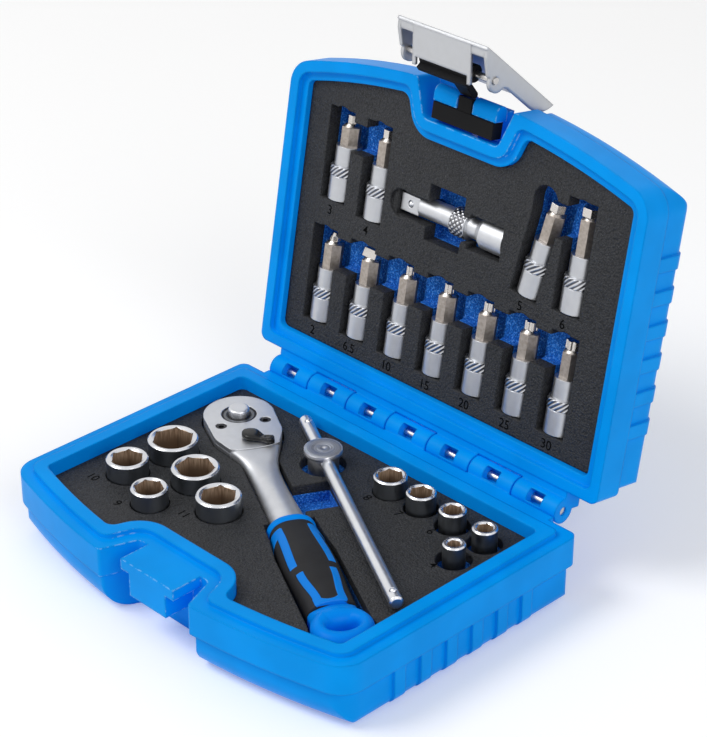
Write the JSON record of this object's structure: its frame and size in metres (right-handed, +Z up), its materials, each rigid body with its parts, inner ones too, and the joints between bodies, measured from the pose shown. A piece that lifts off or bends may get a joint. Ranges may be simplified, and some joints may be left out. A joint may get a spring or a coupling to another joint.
{
  "type": "socket wrench set in case",
  "caption": "Quarter-inch socket and bit set with ratchet, sliding T-bar and extension, in a hinged foam-lined case with a toggle latch.",
  "frame": {"origin": "middle of the base's underside, below the middle of the case's outline", "axes": "+X along the hinge to the right seen from the front, +Y to the hinge, +Z up; the lid is open at its stop"},
  "size_m": [0.164, 0.1706, 0.1752],
  "materials": {
    "azure": "semi-gloss moulded",
    "black_plastic": "moulded",
    "black_foam": "closed-cell foam, pebbled",
    "blue_foam": "closed-cell foam, speckled",
    "chrome": "polished",
    "steel": "satin",
    "dark_steel": "blackened",
    "bit_steel": "dull",
    "zinc": "zinc plated sheet",
    "rubber": "matt"
  },
  "bodies": {
    "base": {"base_shell": "azure", "base_foam": "black_foam", "base_core": "blue_foam", "hinge_pin": "steel"},
    "lid": {"lid_shell": "azure", "lid_foam": "black_foam", "lid_core": "blue_foam", "latch_strap_root": "black_plastic"},
    "latch_link": {"latch_link": "black_plastic", "latch_pin": "steel"},
    "latch_lever": {"latch_lever": "zinc"},
    "ratchet": {"ratchet_body": "steel", "ratchet_cover": "steel", "ratchet_screws": "dark_steel", "ratchet_pawl": "dark_steel", "handle_core": "azure", "handle_grip": "rubber"},
    "drive_gear": {"drive_gear": "dark_steel", "drive_ball": "chrome"},
    "release_button": {"release_button": "chrome"},
    "selector": {"selector_lever": "black_plastic"},
    "t_bar": {"t_bar_rod": "chrome", "t_bar_stops": "chrome", "t_bar_head": "chrome"},
    "extension": {"extension_bar": "chrome", "extension_ball": "chrome"},
    "socket_13": {"socket_13": "chrome"},
    "socket_12": {"socket_12": "chrome"},
    "socket_11": {"socket_11": "chrome"},
    "socket_10": {"socket_10": "chrome"},
    "socket_9": {"socket_9": "chrome"},
    "socket_8": {"socket_8": "chrome"},
    "socket_7": {"socket_7": "chrome"},
    "socket_6": {"socket_6": "chrome"},
    "socket_5": {"socket_5": "chrome"},
    "socket_4": {"socket_4": "chrome"},
    "tool_hex3": {"holder_hex3": "steel", "bit_hex3": "bit_steel"},
    "tool_hex4": {"holder_hex4": "steel", "bit_hex4": "bit_steel"},
    "tool_hex5": {"holder_hex5": "steel", "bit_hex5": "bit_steel"},
    "tool_hex6": {"holder_hex6": "steel", "bit_hex6": "bit_steel"},
    "tool_cross": {"holder_cross": "steel", "bit_cross": "bit_steel"},
    "tool_slot": {"holder_slot": "steel", "bit_slot": "bit_steel"},
    "tool_star10": {"holder_star10": "steel", "bit_star10": "bit_steel"},
    "tool_star15": {"holder_star15": "steel", "bit_star15": "bit_steel"},
    "tool_star20": {"holder_star20": "steel", "bit_star20": "bit_steel"},
    "tool_star25": {"holder_star25": "steel", "bit_star25": "bit_steel"},
    "tool_star30": {"holder_star30": "steel", "bit_star30": "bit_steel"}
  },
  "joints": [
    {"name": "lid_hinge", "type": "hinge", "parent": "base", "child": "lid", "pos_m": [0, 0.0669, 0.026], "axis": [-1, 0, 0], "range_deg": [-99.86, 0]},
    {"name": "latch_link_hinge", "type": "hinge", "parent": "lid", "child": "latch_link", "pos_m": [0, 0.0902, 0.14954], "axis": [-1, 0, 0], "range_deg": [-35.8, 0]},
    {"name": "latch_lever_pivot", "type": "hinge", "parent": "latch_link", "child": "latch_lever", "pos_m": [0, 0.08078, 0.16234], "axis": [1, 0, 0], "range_deg": [0, 40]},
    {"name": "drive_spin", "type": "hinge", "parent": "ratchet", "child": "drive_gear", "pos_m": [-0.0556, 0.0332, 0.02], "axis": [0, 0, 1], "continuous": true},
    {"name": "button_press", "type": "slide", "parent": "drive_gear", "child": "release_button", "axis": [0, 0, -1], "range_m": [0, 0.0012], "stiffness_N_per_m": 800, "springref_m": -0.0006},
    {"name": "selector_turn", "type": "hinge", "parent": "ratchet", "child": "selector", "pos_m": [-0.04013, 0.02501, 0.0255], "axis": [0, 0, 1], "range_deg": [-94, 0]},
    {"name": "ratchet_lift", "type": "slide", "parent": "base", "child": "ratchet", "axis": [0, 0, 1], "range_m": [0, 0.03]},
    {"name": "t_bar_lift", "type": "slide", "parent": "base", "child": "t_bar", "axis": [0, 0, 1], "range_m": [0, 0.028]},
    {"name": "socket_13_lift", "type": "slide", "parent": "base", "child": "socket_13", "axis": [0, 0, 1], "range_m": [0, 0.03]},
    {"name": "socket_12_lift", "type": "slide", "parent": "base", "child": "socket_12", "axis": [0, 0, 1], "range_m": [0, 0.03]},
    {"name": "socket_11_lift", "type": "slide", "parent": "base", "child": "socket_11", "axis": [0, 0, 1], "range_m": [0, 0.03]},
    {"name": "socket_10_lift", "type": "slide", "parent": "base", "child": "socket_10", "axis": [0, 0, 1], "range_m": [0, 0.03]},
    {"name": "socket_9_lift", "type": "slide", "parent": "base", "child": "socket_9", "axis": [0, 0, 1], "range_m": [0, 0.03]},
    {"name": "socket_8_lift", "type": "slide", "parent": "base", "child": "socket_8", "axis": [0, 0, 1], "range_m": [0, 0.03]},
    {"name": "socket_7_lift", "type": "slide", "parent": "base", "child": "socket_7", "axis": [0, 0, 1], "range_m": [0, 0.03]},
    {"name": "socket_6_lift", "type": "slide", "parent": "base", "child": "socket_6", "axis": [0, 0, 1], "range_m": [0, 0.03]},
    {"name": "socket_5_lift", "type": "slide", "parent": "base", "child": "socket_5", "axis": [0, 0, 1], "range_m": [0, 0.03]},
    {"name": "socket_4_lift", "type": "slide", "parent": "base", "child": "socket_4", "axis": [0, 0, 1], "range_m": [0, 0.03]},
    {"name": "extension_lift", "type": "slide", "parent": "lid", "child": "extension", "axis": [0, -0.9852, 0.1712], "range_m": [0, 0.022]},
    {"name": "tool_hex3_lift", "type": "slide", "parent": "lid", "child": "tool_hex3", "axis": [0, -0.9852, 0.1712], "range_m": [0, 0.022]},
    {"name": "tool_hex4_lift", "type": "slide", "parent": "lid", "child": "tool_hex4", "axis": [0, -0.9852, 0.1712], "range_m": [0, 0.022]},
    {"name": "tool_hex5_lift", "type": "slide", "parent": "lid", "child": "tool_hex5", "axis": [0, -0.9852, 0.1712], "range_m": [0, 0.022]},
    {"name": "tool_hex6_lift", "type": "slide", "parent": "lid", "child": "tool_hex6", "axis": [0, -0.9852, 0.1712], "range_m": [0, 0.022]},
    {"name": "tool_cross_lift", "type": "slide", "parent": "lid", "child": "tool_cross", "axis": [0, -0.9852, 0.1712], "range_m": [0, 0.022]},
    {"name": "tool_slot_lift", "type": "slide", "parent": "lid", "child": "tool_slot", "axis": [0, -0.9852, 0.1712], "range_m": [0, 0.022]},
    {"name": "tool_star10_lift", "type": "slide", "parent": "lid", "child": "tool_star10", "axis": [0, -0.9852, 0.1712], "range_m": [0, 0.022]},
    {"name": "tool_star15_lift", "type": "slide", "parent": "lid", "child": "tool_star15", "axis": [0, -0.9852, 0.1712], "range_m": [0, 0.022]},
    {"name": "tool_star20_lift", "type": "slide", "parent": "lid", "child": "tool_star20", "axis": [0, -0.9852, 0.1712], "range_m": [0, 0.022]},
    {"name": "tool_star25_lift", "type": "slide", "parent": "lid", "child": "tool_star25", "axis": [0, -0.9852, 0.1712], "range_m": [0, 0.022]},
    {"name": "tool_star30_lift", "type": "slide", "parent": "lid", "child": "tool_star30", "axis": [0, -0.9852, 0.1712], "range_m": [0, 0.022]}
  ]
}
